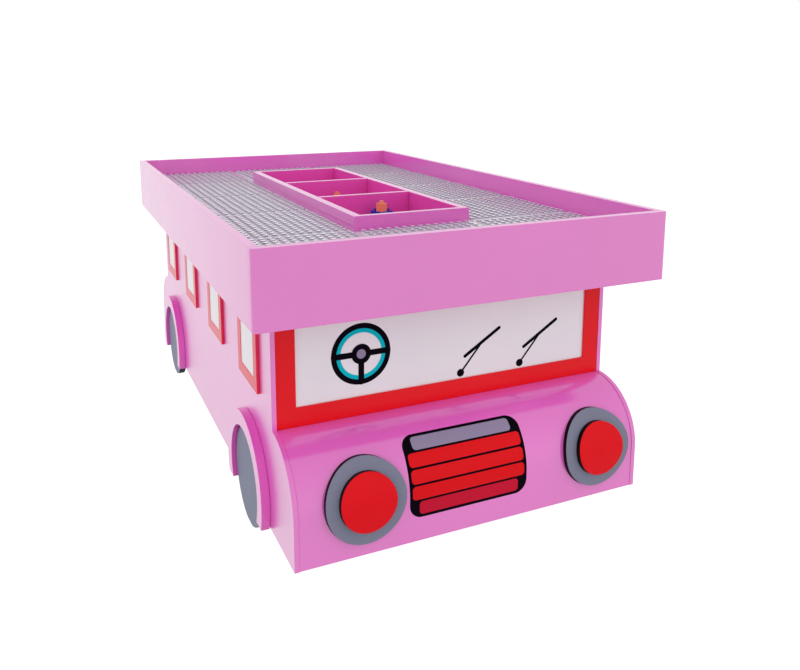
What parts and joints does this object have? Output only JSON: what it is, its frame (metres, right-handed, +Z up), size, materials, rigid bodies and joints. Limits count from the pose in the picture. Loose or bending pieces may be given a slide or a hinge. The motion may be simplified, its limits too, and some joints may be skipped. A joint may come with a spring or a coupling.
{
  "type": "building block table",
  "caption": "Low bus-shaped play table with a rimmed tray of base plates for building bricks and a trough of bins in the middle.",
  "frame": {"origin": "on the floor, midway between the outermost faces of the table in X and Y", "axes": "+X towards the bus's right as seen from in front, +Y from the nose to the tail, +Z up"},
  "size_m": [0.735, 1.2624, 0.543],
  "materials": {
    "pink_board": "satin lacquer on board",
    "pink_ply": "satin lacquer on bent ply",
    "red_board": "satin lacquer on board",
    "white_board": "satin lacquer on board",
    "grey_board": "satin lacquer on board",
    "lamp_grey": "matte",
    "lamp_red": "satin",
    "base_plate_plastic": "moulded, slightly glossy",
    "bare_board": "unpainted fibreboard",
    "zinc_steel": "zinc plated",
    "blue_plastic": "moulded, glossy",
    "orange_plastic": "moulded, glossy"
  },
  "bodies": {
    "table": {"rim_front": "pink_board", "rim_rear": "pink_board", "rim_left": "pink_board", "rim_right": "pink_board", "deck_board": "pink_board", "base_plate_1_1": "base_plate_plastic", "base_plate_1_2": "base_plate_plastic", "base_plate_1_3": "base_plate_plastic", "base_plate_2_1": "base_plate_plastic", "base_plate_2_3": "base_plate_plastic", "base_plate_3_1": "base_plate_plastic", "base_plate_3_3": "base_plate_plastic", "base_plate_4_1": "base_plate_plastic", "base_plate_4_3": "base_plate_plastic", "base_plate_5_1": "base_plate_plastic", "base_plate_5_2": "base_plate_plastic", "base_plate_5_3": "base_plate_plastic", "trough_floor": "pink_board", "trough_wall_front": "pink_board", "trough_wall_rear": "pink_board", "trough_wall_left": "pink_board", "trough_wall_right": "pink_board", "trough_divider_1": "pink_board", "trough_divider_2": "pink_board", "side_panel_left": "pink_board", "side_panel_right": "pink_board", "bonnet_skin": "pink_ply", "boot_skin": "pink_ply", "windscreen_panel": "white_board", "windscreen_frame": "red_board", "rear_panel": "pink_board", "side_window_left_1": "red_board", "side_window_left_2": "red_board", "side_window_left_3": "red_board", "side_window_left_4": "red_board", "side_window_right_1": "red_board", "side_window_right_2": "red_board", "side_window_right_3": "red_board", "side_window_right_4": "red_board", "wheel_front_left": "grey_board", "wheel_arch_front_left": "pink_board", "wheel_front_right": "grey_board", "wheel_arch_front_right": "pink_board", "wheel_rear_left": "grey_board", "wheel_arch_rear_left": "pink_board", "wheel_rear_right": "grey_board", "wheel_arch_rear_right": "pink_board", "carcass_side_left": "bare_board", "carcass_side_right": "bare_board", "wheel_bolt_front_left": "zinc_steel", "wheel_bolt_front_right": "zinc_steel", "wheel_bolt_rear_left": "zinc_steel", "wheel_bolt_rear_right": "zinc_steel", "lamp_bezel_left": "lamp_grey", "lamp_lens_left": "lamp_red", "lamp_bezel_right": "lamp_grey", "lamp_lens_right": "lamp_red"},
    "blue_brick": {"brick_blue": "blue_plastic"},
    "stacked_brick": {"brick_orange_stacked": "orange_plastic"},
    "loose_brick": {"brick_orange_loose": "orange_plastic"}
  },
  "joints": [
    {"name": "blue_brick_lift", "type": "slide", "parent": "table", "child": "blue_brick", "axis": [0, 0, 1], "range_m": [0, 0.06]},
    {"name": "stacked_brick_pull", "type": "slide", "parent": "blue_brick", "child": "stacked_brick", "axis": [0, 0, 1], "range_m": [0, 0.02]},
    {"name": "loose_brick_lift", "type": "slide", "parent": "table", "child": "loose_brick", "axis": [0, 0, 1], "range_m": [0, 0.06]}
  ]
}
